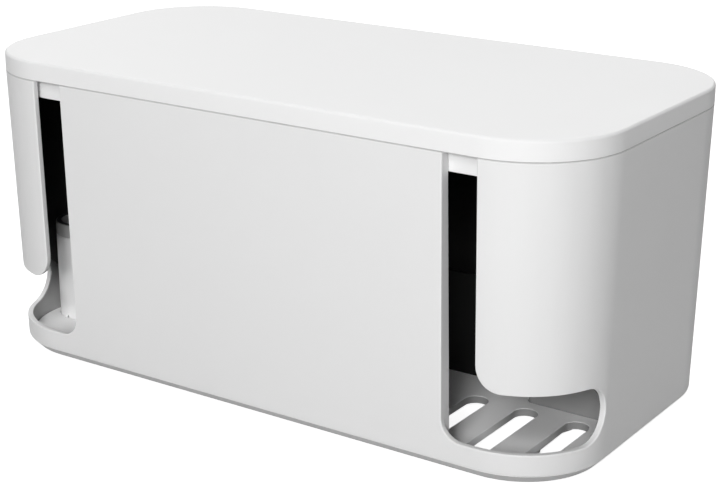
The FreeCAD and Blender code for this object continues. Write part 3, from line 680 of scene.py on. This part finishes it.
class Finish(Enum):
    """Every finish of the box."""

    # painted highlight along the edges, widened by the edge reach; painted shade along the seam and inside
    # both ends
    SHELL = WallPlastic("shell_plastic", grey(0.80), grey(0.97), edge_reach=1.2 * MM,
                        bands=(Band(SEAM - 0.35 * MM, SEAM),))
    # paler than the wall's white as painted light; painted highlight on its edges, painted shade along the
    # seam
    LID = MouldedPlastic("lid_plastic", grey(0.86), grey(0.97), cloud=110 * MM, edge_reach=1.0 * MM,
                         bands=(Band(SEAM, SEAM + 0.3 * MM),))
    # paler than the wall's white as painted light inside the box; painted shade on the rim's foot and vents'
    # walls
    BASE = PlatePlastic("base_plastic", grey(0.95), grey(0.98), edge_reach=0.6 * MM)
    # paler than the wall's white as painted light inside the box
    REST_WHITE = MouldedPlastic("rest_white_plastic", grey(0.94), grey(0.98), cloud=18 * MM)
    # painted shade: the grey stands in for a white rest in shade
    REST_PAINTED_SHADE = MouldedPlastic("rest_painted_shade_plastic", grey(0.32), grey(0.7), cloud=18 * MM, cloud_depth=0.08)
    DIVIDER = MouldedPlastic("divider_plastic", grey(0.012), grey(0.035), cloud=30 * MM, cloud_depth=0.2)
    # black that also stands in for the deep shade inside; paler lower down as painted light
    FELT = Felt("lining_felt", grey(0.005), grey(0.014), grey(0.045))
    # painted shade on the lip's top faces and a painted highlight on its edges
    LIP = Rubber("lip_rubber", grey(0.42), grey(0.7), grey(0.05), 0.8)
    FOOT = Rubber("foot_rubber", grey(0.16), grey(0.3), grey(0.16))
    SCREW = PlatedSteel("screw_steel", (0.62, 0.62, 0.60), (0.44, 0.44, 0.42))


class Workshop:
    """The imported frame, its finishes and what several classes do to its nodes."""

    FLAT_TURN = math.radians(1.0)
    EDGE_TURN = math.radians(30.0)
    EDGE_SEGMENTS = 3
    NORMAL_WEIGHT = 100

    def __init__(self) -> None:
        """Load the frame and build each finish once."""
        self.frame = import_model()
        self.materials = {finish: finish.value.material() for finish in Finish}
        self.smoothing = self._smoothing_group()

    @staticmethod
    def _smoothing_group() -> bpy.types.NodeTree:
        """Node group that shades every face smooth.

        Returns:
            The group.
        """
        group = bpy.data.node_groups.new("smooth_faces", "GeometryNodeTree")
        group.interface.new_socket("Geometry", in_out="INPUT", socket_type="NodeSocketGeometry")
        group.interface.new_socket("Geometry", in_out="OUTPUT", socket_type="NodeSocketGeometry")
        source = group.nodes.new("NodeGroupInput")
        smooth = group.nodes.new("GeometryNodeSetShadeSmooth")
        target = group.nodes.new("NodeGroupOutput")
        group.links.new(source.outputs[0], smooth.inputs["Geometry"])
        group.links.new(smooth.outputs[0], target.inputs[0])
        return group

    def dress(self, node: str, finish: Finish, rounding: float) -> None:
        """Give a CAD node its finish and round its edges.

        Args:
            node: name of the node.
            finish: its finish.
            rounding: how far each edge is rounded, in metres.
        """
        piece = self.frame["nodes"][node]
        for slot in piece.material_slots:
            slot.material = self.materials[finish]
        weld = piece.modifiers.new("weld", "WELD")
        weld.merge_threshold = TOUCH
        flat = piece.modifiers.new("flat", "DECIMATE")
        flat.decimate_type = "DISSOLVE"
        flat.angle_limit = self.FLAT_TURN
        smooth = piece.modifiers.new("smooth", "NODES")
        smooth.node_group = self.smoothing
        edge = piece.modifiers.new("edge", "BEVEL")
        edge.width = rounding
        edge.segments = self.EDGE_SEGMENTS
        edge.limit_method = "ANGLE"
        edge.angle_limit = self.EDGE_TURN
        edge.use_clamp_overlap = False
        normals = piece.modifiers.new("normals", "WEIGHTED_NORMAL")
        normals.weight = self.NORMAL_WEIGHT
        LOG.info("%s: %s, edges %.2f mm", node, finish.name, rounding / MM)

    def add(self, name: str, mesh: bpy.types.Mesh, finish: Finish, body: str, slot: str) -> bpy.types.Object:
        """Add a piece of the scene's own.

        Args:
            name: name of the piece.
            mesh: its mesh, in the part's frame.
            finish: its finish.
            body: the body that it rides on.
            slot: the record's slot of its material; not used.

        Returns:
            The piece.
        """
        piece = bpy.data.objects.new(name, mesh)
        bpy.context.scene.collection.objects.link(piece)
        mesh.materials.append(self.materials[finish])
        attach(piece, body)
        LOG.info("%s: %s", name, finish.name)
        return piece


@dataclass
class Wall:
    """The drafted wall with its two J-shaped openings."""

    rounding: float = 0.45 * MM

    def build(self, shop: Workshop) -> None:
        """Dress the wall."""
        shop.dress("body_shell", Finish.SHELL, self.rounding)


@dataclass
class Lid:
    """The flat lid."""

    rounding: float = 0.4 * MM

    def build(self, shop: Workshop) -> None:
        """Dress the lid."""
        shop.dress("lid", Finish.LID, self.rounding)


@dataclass
class Base:
    """The vented base plate with its four rubber feet."""

    rounding: float = 0.25 * MM
    foot_rounding: float = 0.25 * MM

    def build(self, shop: Workshop) -> None:
        """Dress the plate and the feet.

        Args:
            shop: the workshop.
        """
        shop.dress("base_plate", Finish.BASE, self.rounding)
        for row in ("front", "rear"):
            for side in ("left", "right"):
                shop.dress(f"foot_{row}_{side}", Finish.FOOT, self.foot_rounding)


@dataclass
class Rests:
    """The two upright rests with their soft lips."""

    rounding: float = 0.3 * MM
    lip_rounding: float = 0.5 * MM

    def build(self, shop: Workshop) -> None:
        """Dress both rests and both lips.

        Args:
            shop: the workshop.
        """
        shop.dress("left_rest", Finish.REST_WHITE, self.rounding)
        # the right rest's grey is painted shade on a white rest
        shop.dress("right_rest", Finish.REST_PAINTED_SHADE, self.rounding)
        for side in ("left", "right"):
            shop.dress(f"{side}_rest_lip", Finish.LIP, self.lip_rounding)


@dataclass
class Divider:
    """The black panel that stands between the two bays."""

    rounding: float = 0.4 * MM

    def build(self, shop: Workshop) -> None:
        """Dress the panel."""
        shop.dress("divider", Finish.DIVIDER, self.rounding)


@dataclass
class Lining:
    """Two sheets of thin felt, die-cut flat and glued to the inside of the wall. Their black also stands in
    for the deep shade inside the box.
    """

    wall: InsideWall = InsideWall()
    thick: float = 0.8 * MM
    soft_edge: float = 0.25 * MM
    edge_segments: int = 2
    edge_turn: float = math.radians(50.0)
    foot: float = 6.7 * MM
    head: float = 119.9 * MM
    head_round: float = 3.0 * MM
    flap_round: float = 9.6 * MM
    flap_stretch: float = 9.84 * MM
    opening_centre: Point = (16.1 * MM, 26.15 * MM)
    opening_round: float = 12.95 * MM
    opening_start: float = 135.0
    notch_middle: float = 70.0 * MM
    notch_half: float = 4.4 * MM
    notch_top: float = 22.75 * MM
    front_half: float = 92.85 * MM
    arc_steps: int = 10
    close: float = 2.0 * MM
    wide: float = 12.0 * MM
    least: float = 0.01 * MM

    def _arc(self, centre: Point, reach: tuple[float, float], start: float, end: float) -> list[Point]:
        """Points of an arc on the flat cut.

        Args:
            centre: its centre.
            reach: its half width and half height.
            start: first angle, in degrees.
            end: last angle, in degrees.

        Returns:
            The points from start to end.
        """
        points = []
        for step in range(self.arc_steps + 1):
            angle = math.radians(start + (end - start) * step / self.arc_steps)
            points.append((centre[0] + reach[0] * math.cos(angle), centre[1] + reach[1] * math.sin(angle)))
        return points

    def _strip_half(self) -> list[Point]:
        """Right half of the long strip's cut, from the middle of its foot to its head.

        The foot clears the bosses, steps up beside the foot opening and follows the flap's round corner.

        Returns:
            Its points in order.
        """
        runs = self.wall.runs(self.wall.level)
        bend = sum(runs[:3])
        end = sum(runs)
        centre = (bend + self.opening_centre[0], self.opening_centre[1])
        follow = self._arc(centre, (self.opening_round, self.opening_round), self.opening_start, 90.0)
        slope_foot = (follow[0][0] - (follow[0][1] - self.foot), self.foot)
        left, right = self.notch_middle - self.notch_half, self.notch_middle + self.notch_half
        notch = [(left, self.foot), (left, self.notch_top), (right, self.notch_top), (right, self.foot)]
        flap_centre = (end - self.flap_stretch, self.wall.level + self.flap_round)
        flap = self._arc(flap_centre, (self.flap_stretch, self.flap_round), -90.0, 0.0)
        head_centre = (end - self.head_round, self.head - self.head_round)
        head = self._arc(head_centre, (self.head_round, self.head_round), 0.0, 90.0)
        return [*notch, slope_foot, *follow, *flap, *head]

    def _front_half(self) -> list[Point]:
        """Right half of the front sheet's cut, a rectangle with eased corners.

        Returns:
            Its points in order.
        """
        reach = (self.head_round, self.head_round)
        x = self.front_half - self.head_round
        lower = self._arc((x, self.wall.level + self.head_round), reach, -90.0, 0.0)
        upper = self._arc((x, self.head - self.head_round), reach, 0.0, 90.0)
        return [*lower, *upper]

    def _lines(self, half: float, bent: bool) -> list[float]:
        """Places where the cut is divided, so that it can bend.

        Args:
            half: half the cut's length.
            bent: whether it goes round the corners.

        Returns:
            Places on both sides of the middle.
        """
        places = [0.0]
        back, bend, end, _ = self.wall.runs(self.wall.level)
        seams = (back, back + bend, back + bend + end) if bent else ()
        while places[-1] < half:
            here = places[-1]
            straight = here < back or back + bend <= here < back + bend + end
            step = self.wide if straight or not bent else self.close
            places.append(min([here + step, *(seam for seam in seams if seam > here + self.least)]))
        return [-place for place in places[1:-1]] + places[:-1]

    def _sheet(self, shop: Workshop, name: str, node: str, half: list[Point], bent: bool) -> None:
        """Args:
            shop: the workshop.
            name: name of the sheet.
            node: the CAD node that it stands for.
            half: right half of its outline.
            bent: whether it goes round the corners.
        """
        outline = half + [(-x, z) for x, z in reversed(half)]
        shape = bmesh.new()
        shape.faces.new([shape.verts.new((x, z, 0.0)) for x, z in outline])
        reach = max(x for x, _ in half)
        low = min(z for _, z in half)
        area = sum(face.calc_area() for face in shape.faces)
        cuts = [((place, 0.0, 0.0), (1.0, 0.0, 0.0)) for place in self._lines(reach, bent)]
        rows = int((self.head - low) / self.wide)
        cuts += [((0.0, low + self.wide * (row + 0.5), 0.0), (0.0, 1.0, 0.0)) for row in range(rows)]
        for point, normal in cuts:
            geometry = [*shape.verts, *shape.edges, *shape.faces]
            bmesh.ops.bisect_plane(shape, geom=geometry, dist=TOUCH, plane_co=point, plane_no=normal)
        bmesh.ops.triangulate(shape, faces=[face for face in shape.faces if len(face.verts) > 4])
        place = self.wall.wrapped if bent else self.wall.in_front
        for vert in shape.verts:
            vert.co = place(vert.co.x, vert.co.y)
        bmesh.ops.recalc_face_normals(shape, faces=shape.faces)
        mesh = bpy.data.meshes.new(name)
        shape.to_mesh(mesh)
        shape.free()
        mesh.shade_smooth()
        piece = shop.add(name, mesh, Finish.FELT, "box", "lining_black")
        body = piece.modifiers.new("body", "SOLIDIFY")
        body.thickness = self.thick
        body.offset = 0.0
        edge = piece.modifiers.new("edge", "BEVEL")
        edge.width = self.soft_edge
        edge.segments = self.edge_segments
        edge.limit_method = "ANGLE"
        edge.angle_limit = self.edge_turn
        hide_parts(node)
        2 * reach
        self.head - low

    def build(self, shop: Workshop) -> None:
        """Make both sheets in the place of their CAD nodes."""
        self._sheet(shop, "felt_front", "liner_front", self._front_half(), False)
        self._sheet(shop, "felt_wrap", "liner_wrap", self._strip_half(), True)


@dataclass
class BaseScrews:
    """Four pan-head screws with cross recesses, heads down."""

    head_round: float = 2.8 * MM
    head_high: float = 1.6 * MM
    crown: float = 0.5 * MM
    crown_steps: int = 5
    recess_long: float = 1.5 * MM
    recess_wide: float = 0.32 * MM
    recess_deep: float = 0.9 * MM
    recess_taper: float = 0.8
    shank_round: float = 1.4 * MM
    shank_long: float = 9.0 * MM
    sides: int = 40
    sharp_turn: float = math.radians(35.0)

    def _outline(self) -> list[tuple[float, float]]:
        """Outline of a head from its flat crown up to its seat.

        Returns:
            Radius and height of each ring.
        """
        rings = []
        for step in range(self.crown_steps + 1):
            turn = math.pi / 2 * step / self.crown_steps
            radius = self.head_round - self.crown * (1 - math.sin(turn))
            rings.append((radius, self.crown * (1 - math.cos(turn))))
        rings.append((self.head_round, self.head_high))
        return rings

    def _ring(self, shape: bmesh.types.BMesh, centre: Vector, radius: float,
              height: float) -> list[bmesh.types.BMVert]:
        """Add one ring of vertices round a screw's axis.

        Args:
            shape: mesh that it is added to.
            centre: point of the axis that heights are counted from.
            radius: its radius.
            height: its height above the centre.

        Returns:
            The vertices in order.
        """
        verts = []
        for index in range(self.sides):
            angle = 2 * math.pi * index / self.sides
            point = Vector((math.cos(angle) * radius, math.sin(angle) * radius, height))
            verts.append(shape.verts.new(centre + point))
        return verts

    def _cross(self, shape: bmesh.types.BMesh, centre: Vector, height: float,
               shrink: float) -> list[bmesh.types.BMVert]:
        """Add the recess's outline of twelve corners at one height.

        Args:
            shape: mesh that it is added to.
            centre: point of the axis that heights are counted from.
            height: its height above the centre.
            shrink: share of its full length that each arm has.

        Returns:
            The vertices in order.
        """
        arm = self.recess_long * shrink
        half = self.recess_wide
        quarter = [(arm, -half), (arm, half), (half, half)]
        verts = []
        for turn in range(4):
            cosine, sine = round(math.cos(turn * math.pi / 2)), round(math.sin(turn * math.pi / 2))
            for x, y in quarter:
                point = Vector((x * cosine - y * sine, x * sine + y * cosine, height))
                verts.append(shape.verts.new(centre + point))
        return verts

    @staticmethod
    def _skin(shape: bmesh.types.BMesh, lower: list[bmesh.types.BMVert],
              upper: list[bmesh.types.BMVert]) -> None:
        """Add the faces between two rings of equal count.

        Args:
            shape: mesh that they are added to.
            lower: one ring.
            upper: the ring that follows it.
        """
        count = len(lower)
        for index in range(count):
            after = (index + 1) % count
            shape.faces.new((lower[index], lower[after], upper[after], upper[index]))

    def _screw(self, shape: bmesh.types.BMesh, seat: Vector) -> None:
        """Add one screw, head down.

        Args:
            shape: mesh that it is added to.
            seat: middle of the face that its head bears with.
        """
        crown = seat - Vector((0.0, 0.0, self.head_high))
        rings = [self._ring(shape, crown, radius, height) for radius, height in self._outline()]
        for lower, upper in zip(rings, rings[1:]):
            self._skin(shape, lower, upper)
        mouth = self._cross(shape, crown, 0.0, 1.0)
        floor = self._cross(shape, crown, self.recess_deep, self.recess_taper)
        self._skin(shape, floor, mouth)
        shape.faces.new(floor)
        loops = [shape.edges.get((ring[i - 1], ring[i])) or shape.edges.new((ring[i - 1], ring[i]))
                 for ring in (rings[0], mouth) for i in range(len(ring))]
        bmesh.ops.triangle_fill(shape, edges=loops, use_beauty=True, use_dissolve=False)
        neck = self._ring(shape, seat, self.shank_round, 0.0)
        self._skin(shape, rings[-1], neck)
        tip = self._ring(shape, seat, self.shank_round, self.shank_long)
        self._skin(shape, neck, tip)
        shape.faces.new(tip)

    def build(self, shop: Workshop) -> None:
        """Make the four screws in the place of the CAD node.

        Args:
            shop: the workshop.
        """
        low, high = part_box("base_screws")
        shape = bmesh.new()
        seat = low.z + self.head_high
        for x in (low.x + self.head_round, high.x - self.head_round):
            for y in (low.y + self.head_round, high.y - self.head_round):
                self._screw(shape, Vector((x, y, seat)))
        bmesh.ops.recalc_face_normals(shape, faces=shape.faces)
        mesh = bpy.data.meshes.new("screws")
        shape.to_mesh(mesh)
        shape.free()
        mesh.shade_smooth()
        mesh.set_sharp_from_angle(angle=self.sharp_turn)
        piece = shop.add("base_screw_set", mesh, Finish.SCREW, "box", "screw_steel")
        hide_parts("base_screws")


@dataclass(frozen=True)
class Lamp:
    """One soft rectangular lamp that points at the box."""

    name: str
    place: tuple[float, float, float]
    wide: float
    high: float
    power: float
    aim: tuple[float, float, float] = (0.0, 0.0, 0.1)

    def build(self) -> None:
        """Hang the lamp."""
        data = bpy.data.lights.new(self.name, "AREA")
        data.shape = "RECTANGLE"
        data.size = self.wide
        data.size_y = self.high
        data.energy = self.power
        lamp = bpy.data.objects.new(self.name, data)
        bpy.context.scene.collection.objects.link(lamp)
        lamp.location = self.place
        way = Vector(self.aim) - Vector(self.place)
        lamp.rotation_euler = way.to_track_quat("-Z", "Y").to_euler()


@dataclass
class Studio:
    """Floor that shows white, white surroundings, soft lamps and the camera."""

    floor_half: float = 3.0
    floor_colour: Colour = grey(0.5)
    floor_glow: float = 0.90
    surroundings: float = 0.0
    lamps: tuple[Lamp, ...] = (
        Lamp("overhead", (0.0, -0.4, 1.8), 1.2, 1.2, 6.0),
        Lamp("key", (0.4, -1.1, 1.0), 0.35, 0.3, 4.2),
        Lamp("low_key", (0.45, -1.1, 0.5), 0.35, 0.3, 5.1),
        Lamp("side_key", (0.8, -1.5, 0.7), 0.5, 0.4, 8.6),
        Lamp("back", (0.0, 1.4, 1.2), 1.6, 1.0, 12.5),
        Lamp("back_left", (-1.2, 0.6, 1.2), 1.0, 1.0, 12.0),
    )
    camera_place: tuple[float, float, float] = (0.40735, -0.58674, 0.29238)
    camera_turn: tuple[float, float, float] = (71.68, 0.0, 34.29)
    camera_lens: float = 85.05
    camera_sensor: float = 36.0
    camera_near: float = 0.01

    def _camera_rays(self, graph: Graph) -> Term:
        """Where the camera looks at a surface straight, by gloss or through glass.

        Args:
            graph: the graph that it is built in.

        Returns:
            A mask, 1 for such a look.
        """
        path = "ShaderNodeLightPath"
        seen = graph.node(path, output="Is Camera Ray")
        glossy = graph.node(path, output="Is Glossy Ray")
        through = graph.node(path, output="Is Transmission Ray")
        most = graph.node("ShaderNodeMath", {"operation": "MAXIMUM"}, {0: seen, 1: glossy})
        return graph.node("ShaderNodeMath", {"operation": "MAXIMUM"}, {0: most, 1: through})

    def _floor(self) -> None:
        """Lay the floor, which shows white and keeps the box's shadow."""
        half = self.floor_half
        shape = bmesh.new()
        corners = ((-half, -half), (half, -half), (half, half), (-half, half))
        shape.faces.new([shape.verts.new((x, y, 0.0)) for x, y in corners])
        mesh = bpy.data.meshes.new("floor")
        shape.to_mesh(mesh)
        shape.free()
        floor = bpy.data.objects.new("floor", mesh)
        bpy.context.scene.collection.objects.link(floor)
        graph = Graph.of_material("floor_paint")
        seen = self._camera_rays(graph)
        paint = graph.node("ShaderNodeBsdfDiffuse", None, {"Color": opaque(self.floor_colour)})
        white = opaque(grey(1.0))
        glow = graph.node("ShaderNodeEmission", None, {"Color": white, "Strength": self.floor_glow})
        bright = graph.node("ShaderNodeAddShader", None, {0: paint, 1: glow})
        surface = graph.node("ShaderNodeMixShader", None, {"Fac": seen, 1: paint, 2: bright})
        graph.node("ShaderNodeOutputMaterial", None, {"Surface": surface})
        mesh.materials.append(graph.owner)

    def _world(self) -> None:
        """Surroundings that show white and light the box only as far as their value says."""
        world = bpy.data.worlds.new("surroundings")
        bpy.context.scene.world = world
        graph = Graph(world)
        seen = self._camera_rays(graph)
        white = opaque(grey(1.0))
        soft = graph.node("ShaderNodeBackground", None, {"Color": white, "Strength": self.surroundings})
        full = graph.node("ShaderNodeBackground", None, {"Color": white, "Strength": 1.0})
        surface = graph.node("ShaderNodeMixShader", None, {"Fac": seen, 1: soft, 2: full})
        graph.node("ShaderNodeOutputWorld", None, {"Surface": surface})

    def _camera(self) -> None:
        """Set the camera where the photograph was taken from."""
        data = bpy.data.cameras.new("camera")
        data.lens = self.camera_lens
        data.sensor_width = self.camera_sensor
        data.clip_start = self.camera_near
        camera = bpy.data.objects.new("camera", data)
        bpy.context.scene.collection.objects.link(camera)
        camera.location = self.camera_place
        camera.rotation_euler = Euler([math.radians(angle) for angle in self.camera_turn])
        bpy.context.scene.camera = camera

    def build(self) -> None:
        """Set up everything round the box."""
        bpy.context.scene.view_settings.view_transform = "Standard"
        self._floor()
        self._world()
        for lamp in self.lamps:
            lamp.build()
        self._camera()


def main() -> None:
    """Build every class in order."""
    logging.basicConfig(level=logging.INFO)
    shop = Workshop()
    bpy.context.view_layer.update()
    for assembly in (Wall(), Lid(), Base(), Rests(), Divider(), Lining(), BaseScrews()):
        assembly.build(shop)
    Studio().build()
    LOG.info("done")


if __name__ == "__main__":
    main()
